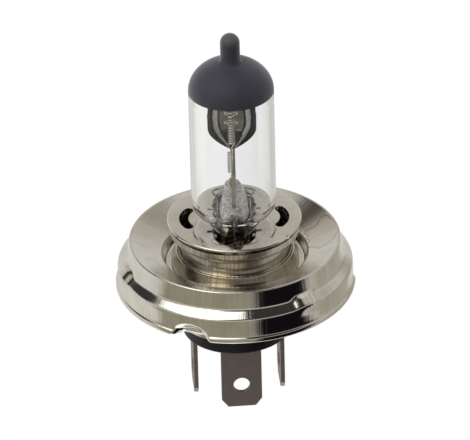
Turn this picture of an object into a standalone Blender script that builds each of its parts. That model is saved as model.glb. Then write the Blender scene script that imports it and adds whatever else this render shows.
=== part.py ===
"""A twin-filament halogen headlight bulb on a 45 mm flanged cap.

The bulb stands on its three contact blades. Z = 0 is the blades' tips and +Z runs up the
lamp's axis to the tip of the glass. -Y is the open side of the dip shield. Angles round the
flange are counted from -Y towards +X. Every level below is a height above the blades' tips.
"""

import math

import bmesh
import bpy
from mathutils import Matrix, Vector

MM = 0.001
GAP = 0.3 * MM

# Driving sizes of the cap.
FLANGE_RADIUS = 22.5 * MM
RIM_LEVEL = 32.0 * MM
SHEET = 0.5 * MM
INSULATOR_RADIUS = 10.3 * MM
INSULATOR_EDGE = 0.4 * MM
CONTACT_LENGTH = 12.55 * MM
INSULATOR_TOP = CONTACT_LENGTH + 6.6 * MM
CONTACT_WIDTH = 7.6 * MM
CONTACT_THICKNESS = 0.8 * MM
CONTACT_OFFSET = 8.2 * MM
CONTACT_CHAMFER = (1.2 * MM, 1.6 * MM)
CONTACT_YAW = math.radians(4.3)
CONTACT_TURNS = {
    "contact_low_beam": 0.0,
    "contact_high_beam": math.pi / 2,
    "contact_ground": -math.pi / 2,
}
LATCH_HOLE_RADIUS = 1.55 * MM
LATCH_HOLE_LEVEL = 4.7 * MM
SOLDER_LUG_HALF_WIDTH = 1.8 * MM
SOLDER_LUG_SPAN = (-6.9 * MM, -6.3 * MM, -4.3 * MM)

# Driving sizes of the burner, its levels counted from the rim of the flange.
GLASS_RADIUS = 7.9 * MM
GLASS_WALL = 1.0 * MM
DISC_RADIUS = 12.55 * MM
DISC_LEVEL = RIM_LEVEL + 4.6 * MM
DISC_THICKNESS = 0.6 * MM
DISC_EDGE = 0.15 * MM
OPENING_HALF_WIDTH = 4.0 * MM
OPENING_HALF_LENGTH = 9.8 * MM
OPENING_Y = -1.0 * MM
KIDNEY_CENTRE = (4.5 * MM, -0.5 * MM)
KIDNEY_BEND = 4.85 * MM
KIDNEY_HALF_WIDTH = 0.75 * MM
KIDNEY_HALF_ANGLE = math.radians(38)
TAB_HALF_WIDTH = 3.8 * MM
TAB_THICKNESS = 0.4 * MM
SHOULDER_RADIUS = 3.0 * MM
BORE_FLOOR = RIM_LEVEL + 6.4 * MM
RIDGE_TOP = RIM_LEVEL + 9.2 * MM
COATING_LEVEL = RIM_LEVEL + 31.4 * MM
DOME_HEIGHT = 6.2 * MM
PIP_RADIUS = 1.8 * MM
TIP_LEVEL = RIM_LEVEL + 43.3 * MM
COATING_THICKNESS = 0.2 * MM

# The pinch: its leads stand in a row along Y.
PINCH_BOTTOM = RIM_LEVEL - 4.4 * MM
PINCH_TOP = RIM_LEVEL + 5.5 * MM
PINCH_HALF_THICKNESS = 2.4 * MM
PINCH_HALF_WIDTH = 7.3 * MM
LEAD_PITCH = 4.4 * MM
LEAD_PLACES = {"common": -LEAD_PITCH, "high_beam": 0.0, "low_beam": LEAD_PITCH}
FOIL_WIDTH = 2.2 * MM
FOIL_THICKNESS = 0.2 * MM
FOIL_BOTTOM = RIM_LEVEL - 1.5 * MM
FOIL_TOP = RIM_LEVEL + 3.2 * MM
WIRE_RADIUS = 0.35 * MM
WIRE_BEND = 1.4 * MM
LEAD_RADIUS = 0.4 * MM
LEAD_BEND = 1.2 * MM

# Dip shield and filaments.
SHIELD_HALF_WIDTH = 4.35 * MM
SHIELD_TIP = RIM_LEVEL + 19.5 * MM
SHIELD_SIDES = RIM_LEVEL + 24.1 * MM
SHIELD_TOP = RIM_LEVEL + 32.3 * MM
SHIELD_RIM_Y = -0.6 * MM
SHIELD_DEPTH = 3.4 * MM
SHIELD_SHEET = 0.25 * MM
SHIELD_FOOT = 0.12
COIL_RADIUS = 0.57 * MM
COIL_PITCH = 0.48 * MM
COIL_WIRE = 0.13 * MM
LOW_COIL = (-0.15 * MM, -0.9 * MM, RIM_LEVEL + 20.8 * MM, RIM_LEVEL + 27.5 * MM)
HIGH_COIL = (-0.3 * MM, 0.0, RIM_LEVEL + 14.2 * MM, RIM_LEVEL + 18.6 * MM)

# Pressed features of the flange: three evenly spaced scallops, and three lugs.
SCALLOP_ANGLES = [math.radians(-23 + 120 * k) for k in range(3)]
LUG_ANGLES = [math.radians(degrees) for degrees in (37, 157, -75)]
SCALLOP_HALF_WIDTH = 4.1 * MM
SCALLOP_HEIGHT = 3.4 * MM
SCALLOP_DEPTH = 1.9 * MM
LUG_HALF_WIDTH = 3.1 * MM
LUG_HALF_HEIGHT = 1.9 * MM
LUG_HEIGHT = 0.9 * MM
LUG_LEVEL = RIM_LEVEL - 3.7 * MM
LIP_LEVEL = RIM_LEVEL - 9.45 * MM

FLANGE_SEGMENTS = 72
TURNED_SEGMENTS = 48
GLASS_SEGMENTS = 40


def clear_scene():
    for old in list(bpy.data.objects):
        bpy.data.objects.remove(old, do_unlink=True)


def material(name, colour, roughness, metallic=0.0, transmission=0.0):
    made = bpy.data.materials.new(name)
    made.use_nodes = True
    shader = made.node_tree.nodes["Principled BSDF"]
    shader.inputs["Base Color"].default_value = (*colour, 1.0)
    shader.inputs["Roughness"].default_value = roughness
    shader.inputs["Metallic"].default_value = metallic
    shader.inputs["Transmission Weight"].default_value = transmission
    made.diffuse_color = (*colour, 1.0)
    return made


def add_object(name, mesh, made_of, sharp_angle=35.0):
    mesh.materials.append(made_of)
    mesh.shade_smooth()
    mesh.set_sharp_from_angle(angle=math.radians(sharp_angle))
    piece = bpy.data.objects.new(name, mesh)
    bpy.context.collection.objects.link(piece)
    return piece


def as_cutter(mesh, name):
    cutter = bpy.data.objects.new(name, mesh)
    bpy.context.collection.objects.link(cutter)
    cutter.hide_render = True
    cutter.display_type = "WIRE"
    return cutter


def combine(piece, other, operation):
    step = piece.modifiers.new(f"{operation.lower()}_{other.name}", "BOOLEAN")
    step.operation = operation
    step.solver = "EXACT"
    step.object = other


def skin(name, rings, closed=False):
    """A mesh over rings of points: open ended with a face on each end, or closed in a loop."""
    bm = bmesh.new()
    rows = [[bm.verts.new(point) for point in ring] for ring in rings]
    pairs = list(zip(rows, rows[1:]))
    if closed:
        pairs.append((rows[-1], rows[0]))
    for low, high in pairs:
        for i in range(len(low)):
            j = (i + 1) % len(low)
            bm.faces.new((low[i], low[j], high[j], high[i]))
    if not closed:
        bm.faces.new(rows[0])
        bm.faces.new(rows[-1])
    bmesh.ops.recalc_face_normals(bm, faces=bm.faces)
    mesh = bpy.data.meshes.new(name)
    bm.to_mesh(mesh)
    bm.free()
    return mesh


def block(name, low, high):
    x0, y0, z0 = low
    x1, y1, z1 = high
    corners = ((x0, y0), (x1, y0), (x1, y1), (x0, y1))
    return skin(name, [[(x, y, z) for x, y in corners] for z in (z0, z1)])


def at_angle(radius, angle, level):
    return (radius * math.sin(angle), -radius * math.cos(angle), level)


def turned_ring(name, section, segments, press=None):
    """A closed section of (radius, level) points turned round Z, and pressed out of round."""
    rings = []
    for k in range(segments):
        angle = 2 * math.pi * k / segments
        points = [press(angle, r, z) if press else (r, z) for r, z in section]
        rings.append([at_angle(r, angle, z) for r, z in points])
    return skin(name, rings, closed=True)


def turned_solid(name, outline, segments):
    """A solid with (radius, level) points from its bottom face to its top face."""
    angles = [2 * math.pi * k / segments for k in range(segments)]
    return skin(name, [[at_angle(r, a, z) for a in angles] for r, z in outline])


def rounded(points, radius, steps):
    """The points with each inner corner rounded over, by at most radius on each leg."""
    points = [Vector(p) for p in points]
    path = [points[0]]
    for before, corner, after in zip(points, points[1:], points[2:]):
        reach_in = min(radius, (before - corner).length * 0.45)
        reach_out = min(radius, (after - corner).length * 0.45)
        start = corner + (before - corner).normalized() * reach_in
        end = corner + (after - corner).normalized() * reach_out
        for k in range(steps + 1):
            t = k / steps
            path.append(start.lerp(corner, t).lerp(corner.lerp(end, t), t))
    return path + [points[-1]]


def sheet_section(face, thickness):
    """A closed section of sheet metal, from one face's (radius, level) points. It lies on the
    right of the direction in which the points run."""
    face = [Vector(p) for p in face]
    back = []
    for i, point in enumerate(face):
        legs = []
        if i > 0:
            legs.append((point - face[i - 1]).normalized())
        if i < len(face) - 1:
            legs.append((face[i + 1] - point).normalized())
        normals = [Vector((leg.y, -leg.x)) for leg in legs]
        middle = sum(normals, Vector((0, 0))).normalized()
        back.append(point + middle * (thickness / middle.dot(normals[0])))
    return [tuple(p) for p in face + back[::-1]]


def wire(name, points, radius, made_of, sides=2):
    curve = bpy.data.curves.new(name, "CURVE")
    curve.dimensions = "3D"
    curve.bevel_depth = radius
    curve.bevel_resolution = sides
    curve.use_fill_caps = True
    spline = curve.splines.new("POLY")
    spline.points.add(len(points) - 1)
    for held, point in zip(spline.points, points):
        held.co = (*point, 1.0)
    curve.materials.append(made_of)
    piece = bpy.data.objects.new(name, curve)
    bpy.context.collection.objects.link(piece)
    return piece


def from_rim(points):
    """(radius, level) pairs in millimetres, the level counted from the rim of the flange."""
    return [(r * MM, RIM_LEVEL + z * MM) for r, z in points]


# ---------------------------------------------------------------- cap


def pressed_flange(angle, radius, level):
    """The flange with its scallops pushed in at the lip and its lugs pushed out at the step."""
    for centre in SCALLOP_ANGLES:
        turn = math.remainder(angle - centre, 2 * math.pi)
        up = (level - LIP_LEVEL) / SCALLOP_HEIGHT
        reach = math.hypot(turn * FLANGE_RADIUS / SCALLOP_HALF_WIDTH, up)
        if reach < 1 and radius > 0.9 * FLANGE_RADIUS:
            radius -= SCALLOP_DEPTH * min(1.0, 2 * (1 - reach))
    for centre in LUG_ANGLES:
        turn = math.remainder(angle - centre, 2 * math.pi)
        up = (level - LUG_LEVEL) / LUG_HALF_HEIGHT
        reach = math.hypot(turn * FLANGE_RADIUS / LUG_HALF_WIDTH, up)
        if reach < 1 and radius > 0.86 * FLANGE_RADIUS:
            radius += LUG_HEIGHT * (1 - reach * reach)
    return radius, level


def flange_ring(metal):
    inner = [(11.2, -5.0), (13.0, -5.0), (13.6, -2.55)]
    rim = rounded([(17.5, -0.83), (19.75, 0.13), (20.4, -3.3)], 0.7, 3)[1:-1]
    outer = [(20.4, -3.3), (22.0, -4.8), (22.15, -8.3), (22.5, -9.1), (22.5, -9.45)]
    face = from_rim(inner + [tuple(p) for p in rim] + outer)
    section = sheet_section(face, SHEET)
    mesh = turned_ring("flange_ring", section, FLANGE_SEGMENTS, pressed_flange)
    return add_object("flange_ring", mesh, metal)


def base_sleeve(metal):
    face = from_rim([(11.25, -2.2), (11.3, -3.2), (11.9, -4.7)])
    mesh = turned_ring("base_sleeve", sheet_section(face, SHEET * 0.6), TURNED_SEGMENTS)
    return add_object("base_sleeve", mesh, metal)


def base_shell(metal):
    face = from_rim([(12.6, -5.8), (10.6, -5.8), (10.6, -16.1)])
    section = sheet_section(face[::-1], SHEET * 0.8)
    return add_object("base_shell", turned_ring("base_shell", section, TURNED_SEGMENTS), metal)


def holder_collar(metal):
    face = from_rim([(10.7, -4.1), (10.7, 2.6), (11.2, 3.15), (12.2, 3.15)])
    section = sheet_section(face[::-1], SHEET)
    mesh = turned_ring("holder_collar", section, TURNED_SEGMENTS)
    return add_object("holder_collar", mesh, metal)


def prism(name, outline, low, high):
    return skin(name, [[(x, y, z) for x, y in outline] for z in (low, high)])


def stadium(half_width, half_length, steps=8):
    """A slot's outline with round ends, long along Y."""
    straight = half_length - half_width
    points = []
    for side in (1, -1):
        for k in range(steps + 1):
            angle = math.pi * k / steps
            x = side * half_width * math.cos(angle)
            y = side * (straight + half_width * math.sin(angle))
            points.append((x, OPENING_Y + y))
    return points


def kidney(side, steps=8):
    """A bean-shaped slot's outline, with round ends, on the +X or the -X side."""
    middle_x, middle_y = KIDNEY_CENTRE
    half, turn = KIDNEY_HALF_WIDTH, KIDNEY_HALF_ANGLE
    end_x, end_y = KIDNEY_BEND * math.cos(turn), KIDNEY_BEND * math.sin(turn)
    arcs = [
        (0.0, 0.0, KIDNEY_BEND + half, -turn, turn),
        (end_x, end_y, half, turn, math.pi + turn),
        (0.0, 0.0, KIDNEY_BEND - half, turn, -turn),
        (end_x, -end_y, half, math.pi - turn, 2 * math.pi - turn),
    ]
    points = []
    for x, y, radius, start, stop in arcs:
        for k in range(steps):
            angle = start + (stop - start) * k / steps
            across = middle_x + x + radius * math.cos(angle)
            points.append((side * across, middle_y + y + radius * math.sin(angle)))
    return points


def holder_tab(side):
    """One of the two spring tabs bent down from the disc to grip the flat of the pinch."""
    path = [(4.9, -0.3), (4.0, -0.35), (3.2, -1.4), (2.95, -3.0), (2.95, -5.2)]
    section = sheet_section([(x * MM, DISC_LEVEL + z * MM) for x, z in path], TAB_THICKNESS)
    ends = (OPENING_Y - TAB_HALF_WIDTH, OPENING_Y + TAB_HALF_WIDTH)
    return skin("tab", [[(side * x, y, z) for x, z in section] for y in ends])


def holder_disc(metal):
    outline = [
        (DISC_RADIUS - DISC_EDGE, DISC_LEVEL - DISC_THICKNESS),
        (DISC_RADIUS, DISC_LEVEL - DISC_THICKNESS + DISC_EDGE),
        (DISC_RADIUS, DISC_LEVEL - DISC_EDGE),
        (DISC_RADIUS - DISC_EDGE, DISC_LEVEL),
    ]
    disc = add_object("holder_disc", turned_solid("holder_disc", outline, 64), metal)
    low, high = DISC_LEVEL - MM, DISC_LEVEL + MM
    opening = prism("pinch_opening", stadium(OPENING_HALF_WIDTH, OPENING_HALF_LENGTH), low, high)
    combine(disc, as_cutter(opening, "cut_pinch_opening"), "DIFFERENCE")
    for side, where in ((1, "right"), (-1, "left")):
        slot = prism("kidney", kidney(side), low, high)
        combine(disc, as_cutter(slot, f"cut_kidney_{where}"), "DIFFERENCE")
        combine(disc, as_cutter(holder_tab(side), f"add_tab_{where}"), "UNION")
    return disc


def contact_frame(turn):
    """A contact lies in its own frame, in front of the axis, and turns round Z to its place."""
    return Matrix.Rotation(CONTACT_YAW + turn, 4, "Z")


def base_insulator(plastic):
    outline = [
        (INSULATOR_RADIUS - INSULATOR_EDGE, CONTACT_LENGTH),
        (INSULATOR_RADIUS, CONTACT_LENGTH + INSULATOR_EDGE),
        (INSULATOR_RADIUS, INSULATOR_TOP),
    ]
    puck = turned_solid("base_insulator", outline, TURNED_SEGMENTS)
    body = add_object("base_insulator", puck, plastic)
    half_width = CONTACT_WIDTH / 2 + GAP
    half_thickness = CONTACT_THICKNESS / 2 + GAP
    for k, turn in enumerate(CONTACT_TURNS.values()):
        slot = block(
            "slot",
            (-half_width, -CONTACT_OFFSET - half_thickness, CONTACT_LENGTH - MM),
            (half_width, -CONTACT_OFFSET + half_thickness, INSULATOR_TOP + MM),
        )
        cutter = as_cutter(slot, f"cut_contact_{k}")
        cutter.matrix_world = contact_frame(turn)
        combine(body, cutter, "DIFFERENCE")
    return body


def contact_blade(name, turn, metal):
    """A flat blade with a hole, bent over the insulator into a narrow lug for its lead."""
    half = CONTACT_THICKNESS / 2
    broad = CONTACT_WIDTH / 2
    narrow = SOLDER_LUG_HALF_WIDTH
    lug_level = INSULATOR_TOP + GAP + half
    shoulder, lug_start, lug_end = SOLDER_LUG_SPAN
    inward, upward = CONTACT_CHAMFER
    stations = [
        (-CONTACT_OFFSET, 0.0, broad - inward, (half, 0.0)),
        (-CONTACT_OFFSET, upward, broad, (half, 0.0)),
        (-CONTACT_OFFSET, lug_level, broad, (half, -half)),
        (shoulder, lug_level, broad, (0.0, -half)),
        (lug_start, lug_level, narrow, (0.0, -half)),
        (lug_end, lug_level, narrow, (0.0, -half)),
    ]
    rings = []
    for y, z, half_width, (dy, dz) in stations:
        rings.append(
            [
                (-half_width, y - dy, z - dz),
                (half_width, y - dy, z - dz),
                (half_width, y + dy, z + dz),
                (-half_width, y + dy, z + dz),
            ]
        )
    blade = add_object(name, skin(name, rings), metal)
    angles = [2 * math.pi * k / 24 for k in range(24)]
    radius = LATCH_HOLE_RADIUS
    hole = [
        [(radius * math.cos(a), y, LATCH_HOLE_LEVEL + radius * math.sin(a)) for a in angles]
        for y in (-CONTACT_OFFSET - MM, -CONTACT_OFFSET + MM)
    ]
    cutter = as_cutter(skin("hole", hole), f"cut_hole_{name}")
    cutter.matrix_world = contact_frame(turn)
    blade.matrix_world = contact_frame(turn)
    combine(blade, cutter, "DIFFERENCE")
    return blade


# ---------------------------------------------------------------- glass


def superellipse(half_x, half_y, power, level, segments):
    ring = []
    for k in range(segments):
        angle = 2 * math.pi * k / segments
        c, s = math.cos(angle), math.sin(angle)
        x = half_x * math.copysign(abs(c) ** (2 / power), c)
        y = half_y * math.copysign(abs(s) ** (2 / power), s)
        ring.append((x, y, level))
    return ring


def foot_corner(radius, level, size, steps):
    """(radius, level) points round the foot of a cylinder, from its flat floor to its wall."""
    points = []
    for k in range(steps + 1):
        angle = math.pi / 2 * k / steps
        across = radius - size + size * math.sin(angle)
        points.append((across, level + size * (1 - math.cos(angle))))
    return points


def glass_outside():
    """The tube with its rounded foot, and the dome and pip under the coating."""
    outline = foot_corner(GLASS_RADIUS, PINCH_TOP, SHOULDER_RADIUS, 6)
    outline.append((GLASS_RADIUS, COATING_LEVEL - GAP))
    outline += dome_outline(COATING_THICKNESS + GAP)
    return turned_solid("glass_envelope", outline, GLASS_SEGMENTS)


def pinch_slab():
    """The flat seal below the tube, which flares a little where it joins the tube."""
    levels = ((PINCH_BOTTOM, 0.0), (PINCH_TOP - 1.4 * MM, 0.0), (PINCH_TOP + MM, 1.2 * MM))
    rings = []
    for level, flare in levels:
        half_x = PINCH_HALF_THICKNESS + flare
        rings.append(superellipse(half_x, PINCH_HALF_WIDTH, 5, level, GLASS_SEGMENTS))
    return skin("pinch", rings)


def dome_outline(inset):
    """(radius, level) of the dome and its pip, from the coating's lower edge to the tip."""
    points = []
    neck = math.acos((PIP_RADIUS + 0.4 * MM) / GLASS_RADIUS)
    for k in range(6):
        angle = neck * k / 5
        radius = (GLASS_RADIUS - inset) * math.cos(angle)
        points.append((radius, COATING_LEVEL + (DOME_HEIGHT - inset) * math.sin(angle)))
    pip = PIP_RADIUS - inset
    points.append((pip, COATING_LEVEL + DOME_HEIGHT + 0.3 * MM - inset))
    for angle in (0.0, 0.7, 1.3):
        points.append((pip * math.cos(angle), TIP_LEVEL - inset - pip * (1 - math.sin(angle))))
    return points


def glass_cavity():
    """The gas space: a round bore with a rounded floor and a domed end."""
    bore = GLASS_RADIUS - GLASS_WALL
    outline = foot_corner(bore, BORE_FLOOR, SHOULDER_RADIUS - GLASS_WALL, 5)
    outline.append((bore, COATING_LEVEL - 1.5 * MM))
    for k in range(6):
        angle = math.radians(80) * k / 5
        radius = (bore - 0.35 * MM) * math.cos(angle)
        outline.append((radius, COATING_LEVEL + (DOME_HEIGHT - 1.4 * MM) * math.sin(angle)))
    return turned_solid("gas_space", outline, GLASS_SEGMENTS)


def pinch_ridge():
    """The top of the pinch, which stands up inside the bore as a ridge along Y."""
    shapes = [(2.9, 7.1, -3.3), (2.6, 7.0, -1.8), (2.1, 6.8, -0.6), (1.5, 6.3, 0.0)]
    rings = []
    for half_x, half_y, below in shapes:
        rings.append(superellipse(half_x * MM, half_y * MM, 3, RIDGE_TOP + below * MM, 32))
    return skin("ridge", rings)


def glass_envelope(quartz):
    """The capsule with its gas space. A slot through the pinch for each lead opens it."""
    glass = add_object("glass_envelope", glass_outside(), quartz)
    combine(glass, as_cutter(pinch_slab(), "add_pinch"), "UNION")
    combine(glass, as_cutter(glass_cavity(), "cut_gas_space"), "DIFFERENCE")
    combine(glass, as_cutter(pinch_ridge(), "add_ridge"), "UNION")
    half = FOIL_WIDTH / 2 + GAP
    for k in (-1, 0, 1):
        y = k * LEAD_PITCH
        low = (-LEAD_RADIUS - GAP, y - half, PINCH_BOTTOM - MM)
        high = (LEAD_RADIUS + GAP, y + half, RIDGE_TOP + 0.8 * MM)
        combine(glass, as_cutter(block("slot", low, high), f"cut_lead_{k + 1}"), "DIFFERENCE")
    return glass


def blackout_coating(paint):
    """The opaque coat over the dome and the pip, as a thin cap."""
    outside = dome_outline(0.0)
    inside = dome_outline(COATING_THICKNESS)
    inside[0] = (GLASS_RADIUS - COATING_THICKNESS, COATING_LEVEL)
    rings = inside[::-1] + outside
    mesh = turned_solid("blackout_coating", rings, 32)
    return add_object("blackout_coating", mesh, paint)


# ---------------------------------------------------------------- inside the glass


def dip_shield(molybdenum):
    """A spoon of thin sheet, open towards -Y, that narrows to a blunt point at its foot."""
    rows, columns = 12, 10
    bm = bmesh.new()
    grid = []
    for i in range(rows + 1):
        level = SHIELD_TIP + (SHIELD_TOP - SHIELD_TIP) * (i / rows) ** 1.6
        t = max(0.0, (SHIELD_SIDES - level) / (SHIELD_SIDES - SHIELD_TIP))
        size = max(SHIELD_FOOT, 1 - t * t)
        row = []
        for j in range(columns + 1):
            angle = math.pi * j / columns
            x = -SHIELD_HALF_WIDTH * size * math.cos(angle)
            y = SHIELD_RIM_Y + SHIELD_DEPTH * size * math.sin(angle) ** 0.8
            row.append(bm.verts.new((x, y, level)))
        grid.append(row)
    for low, high in zip(grid, grid[1:]):
        for j in range(columns):
            bm.faces.new((low[j], low[j + 1], high[j + 1], high[j]))
    mesh = bpy.data.meshes.new("dip_shield")
    bm.to_mesh(mesh)
    bm.free()
    shield = add_object("dip_shield", mesh, molybdenum, 60.0)
    thicken = shield.modifiers.new("sheet", "SOLIDIFY")
    thicken.thickness = SHIELD_SHEET
    thicken.offset = 0
    return shield


def filament(name, place, foot, head, tungsten):
    """A helix about a line parallel to Z, with a straight tail at each end."""
    x, y, low, high = place
    turns = (high - low) / COIL_PITCH
    steps = round(turns * 8)
    points = [Vector(p) for p in foot]
    for k in range(steps + 1):
        angle = 2 * math.pi * turns * k / steps
        level = low + (high - low) * k / steps
        across, along = COIL_RADIUS * math.cos(angle), COIL_RADIUS * math.sin(angle)
        points.append(Vector((x + across, y + along, level)))
    points += [Vector(p) for p in head]
    return wire(name, points, COIL_WIRE, tungsten, sides=0)


def low_beam_filament(tungsten):
    x, y, low, high = LOW_COIL
    foot = [(x, y + 0.15 * MM, low - 0.6 * MM), (x, y, low - 0.3 * MM)]
    head = [(x, y, high + 0.4 * MM), (x, y, high + 2.6 * MM)]
    return filament("low_beam_filament", LOW_COIL, foot, head, tungsten)


def high_beam_filament(tungsten):
    x, y, low, high = HIGH_COIL
    foot = [(x, y, low - 1.2 * MM), (x, y, low - 0.4 * MM)]
    head = [(x, y, high + 0.3 * MM), (x, y - 0.1 * MM, high + 0.6 * MM)]
    return filament("high_beam_filament", HIGH_COIL, foot, head, tungsten)


def support_wires(nickel):
    """The three wires that rise from the pinch: to the shield, and to a filament each."""
    foot = FOIL_TOP + GAP
    low_x, low_y, _, low_top = LOW_COIL
    high_x, high_y, high_foot, _ = HIGH_COIL
    over = SHIELD_TOP + 1.2 * MM
    common = [
        (0, -LEAD_PITCH, foot),
        (0, -LEAD_PITCH, RIDGE_TOP + 1.5 * MM),
        (0.1 * MM, -3.8 * MM, RIDGE_TOP + 4 * MM),
        (0.1 * MM, -3.2 * MM, SHIELD_TIP - 3 * MM),
        (0.1 * MM, SHIELD_RIM_Y - 0.5 * MM, SHIELD_TIP - 0.5 * MM),
    ]
    high = [
        (0, 0, foot),
        (0, 0, high_foot - 4 * MM),
        (high_x, high_y, high_foot - 2.6 * MM),
        (high_x, high_y, high_foot - 1.5 * MM),
    ]
    low = [
        (0, LEAD_PITCH, foot),
        (0, LEAD_PITCH, over),
        (low_x, low_y, over),
        (low_x, low_y, low_top + 3.0 * MM),
    ]
    for name, path in (("common", common), ("high_beam", high), ("low_beam", low)):
        wire(f"support_wire_{name}", rounded(path, WIRE_BEND, 3), WIRE_RADIUS, nickel)


# ---------------------------------------------------------------- seals and leads


def pinch_foils(molybdenum):
    for name, y in LEAD_PLACES.items():
        low = (-FOIL_THICKNESS / 2, y - FOIL_WIDTH / 2, FOIL_BOTTOM)
        high = (FOIL_THICKNESS / 2, y + FOIL_WIDTH / 2, FOIL_TOP)
        node = f"pinch_foil_{name}"
        add_object(node, block(node, low, high), molybdenum)


def outer_leads(nickel):
    """From each foil, out of the pinch and down to the lug of its own contact."""
    end = INSULATOR_TOP + GAP + CONTACT_THICKNESS + GAP + LEAD_RADIUS
    routes = {
        "common": [(-3.0, -3.6, 25.0), (-4.6, -1.0, 22.6), (-5.0, -0.5, end / MM)],
        "high_beam": [(2.2, 0.6, 25.2), (4.6, 0.6, 22.6), (5.0, 0.5, end / MM)],
        "low_beam": [(-1.8, 2.4, 24.6), (-2.0, -1.6, 23.2), (-0.3, -4.6, 21.8), (0.4, -5.2, end / MM)],
    }
    for name, y in LEAD_PLACES.items():
        path = [(0, y, FOIL_BOTTOM - GAP), (0, y, PINCH_BOTTOM - 0.8 * MM)]
        path += [tuple(c * MM for c in point) for point in routes[name]]
        wire(f"outer_lead_{name}", rounded(path, LEAD_BEND, 3), LEAD_RADIUS, nickel)


def main():
    clear_scene()
    nickel_plate = material("nickel_plate", (0.62, 0.59, 0.53), 0.18, 1.0)
    tinned_brass = material("tinned_brass", (0.17, 0.15, 0.13), 0.45, 0.8)
    black_plastic = material("black_plastic", (0.015, 0.012, 0.018), 0.5)
    quartz = material("quartz", (0.95, 0.96, 0.96), 0.02, 0.0, 1.0)
    black_paint = material("black_paint", (0.06, 0.06, 0.075), 0.55)
    molybdenum = material("molybdenum", (0.45, 0.45, 0.43), 0.15, 1.0)
    tungsten = material("tungsten", (0.3, 0.3, 0.3), 0.35, 1.0)
    nickel_wire = material("nickel_wire", (0.4, 0.38, 0.34), 0.3, 1.0)

    flange_ring(nickel_plate)
    base_sleeve(nickel_plate)
    base_shell(nickel_plate)
    holder_collar(nickel_plate)
    holder_disc(nickel_plate)
    base_insulator(black_plastic)
    for name, turn in CONTACT_TURNS.items():
        contact_blade(name, turn, tinned_brass)

    glass_envelope(quartz)
    blackout_coating(black_paint)
    dip_shield(molybdenum)
    low_beam_filament(tungsten)
    high_beam_filament(tungsten)
    support_wires(nickel_wire)
    pinch_foils(molybdenum)
    outer_leads(nickel_wire)


main()
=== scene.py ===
"""The looks of the headlight bulb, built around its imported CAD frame. Lengths are in metres."""

import math

import bmesh
import bpy
from mathutils import Matrix, Vector, noise


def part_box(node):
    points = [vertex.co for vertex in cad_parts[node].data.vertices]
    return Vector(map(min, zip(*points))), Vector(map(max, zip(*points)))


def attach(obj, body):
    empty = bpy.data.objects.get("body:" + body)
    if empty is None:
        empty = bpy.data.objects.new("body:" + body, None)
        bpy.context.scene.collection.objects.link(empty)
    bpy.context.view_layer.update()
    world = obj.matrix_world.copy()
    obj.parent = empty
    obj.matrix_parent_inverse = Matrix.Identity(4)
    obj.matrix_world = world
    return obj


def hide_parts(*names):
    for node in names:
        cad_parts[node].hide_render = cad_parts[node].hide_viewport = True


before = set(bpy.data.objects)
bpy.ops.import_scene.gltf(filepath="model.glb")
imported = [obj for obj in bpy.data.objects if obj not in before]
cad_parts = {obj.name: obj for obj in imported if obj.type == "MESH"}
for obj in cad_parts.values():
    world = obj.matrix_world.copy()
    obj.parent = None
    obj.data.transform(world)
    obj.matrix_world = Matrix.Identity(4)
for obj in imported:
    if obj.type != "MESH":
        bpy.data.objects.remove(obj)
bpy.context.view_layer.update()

MM = 0.001
ROOT = "root"

# ------------------------------------------------------------------ places, from the frame


def low_of(node):
    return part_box(node)[0]


def high_of(node):
    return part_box(node)[1]


FLANGE_RADIUS = (high_of("flange_ring").y - low_of("flange_ring").y) / 2
LIP_LEVEL = low_of("flange_ring").z
PINCH_BOTTOM = low_of("glass_envelope").z
RIM_LEVEL = PINCH_BOTTOM + 4.4 * MM
DISC_LEVEL = RIM_LEVEL + 4.6 * MM
DISC_RADIUS = high_of("holder_disc").x
GLASS_RADIUS = high_of("glass_envelope").x
COATING_LEVEL = low_of("blackout_coating").z + 0.1 * MM
TIP_LEVEL = high_of("blackout_coating").z
INSULATOR_RADIUS = high_of("base_insulator").x
INSULATOR_BOTTOM = low_of("base_insulator").z
INSULATOR_TOP = high_of("base_insulator").z
SHIELD_TIP = low_of("dip_shield").z
SHIELD_TOP = high_of("dip_shield").z

# Sizes of the cap.
SCALLOP_ANGLES = [math.radians(-23 + 120 * k) for k in range(3)]
SCALLOP_HALF_WIDTH = 4.1 * MM
SCALLOP_HEIGHT = 3.4 * MM
SCALLOP_DEPTH = 2.3 * MM
LUG_ANGLES = [math.radians(degrees) for degrees in (37, 157, -75)]
LUG_HALF_WIDTH = 3.6  # millimetres along the flange's edge, as pressed_flange measures it
LUG_HEIGHT = 0.45 * MM
FLANGE_SHEET = 0.5 * MM
DISC_THICKNESS = 0.65 * MM
OPENING_Y = -1.0 * MM
OPENING_HALF_WIDTH = 4.0 * MM
OPENING_HALF_LENGTH = 9.8 * MM
SLITS = ((-5.8 * MM, -5.0 * MM), (1.75 * MM, 2.35 * MM))
SLIT_REACH = (3.6 * MM, 5.1 * MM)
KIDNEY_CENTRE = (4.5 * MM, -0.5 * MM)
KIDNEY_BEND = 4.9 * MM
KIDNEY_HALF_WIDTH = 0.88 * MM
KIDNEY_HALF_ANGLE = math.radians(36)
CRIMPS = (2, 52, 122, 182, 242, 302)
CONTACTS = {"contact_low_beam": 0.0, "contact_high_beam": math.pi / 2, "contact_ground": -math.pi / 2}
CONTACT_YAW = math.radians(4.3)
CONTACT_OFFSET = 8.2 * MM
BLADE_HALF_WIDTH = 3.8 * MM
BLADE_HALF_THICKNESS = 0.4 * MM
LATCH_HOLE_RADIUS = 1.55 * MM
LATCH_HOLE_LEVEL = 4.7 * MM
# How far out along X the painted shade inside the collar starts, and where it is full.
PAINTED_SHADE_REACH = (6.0 * MM, 6.8 * MM)

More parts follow.
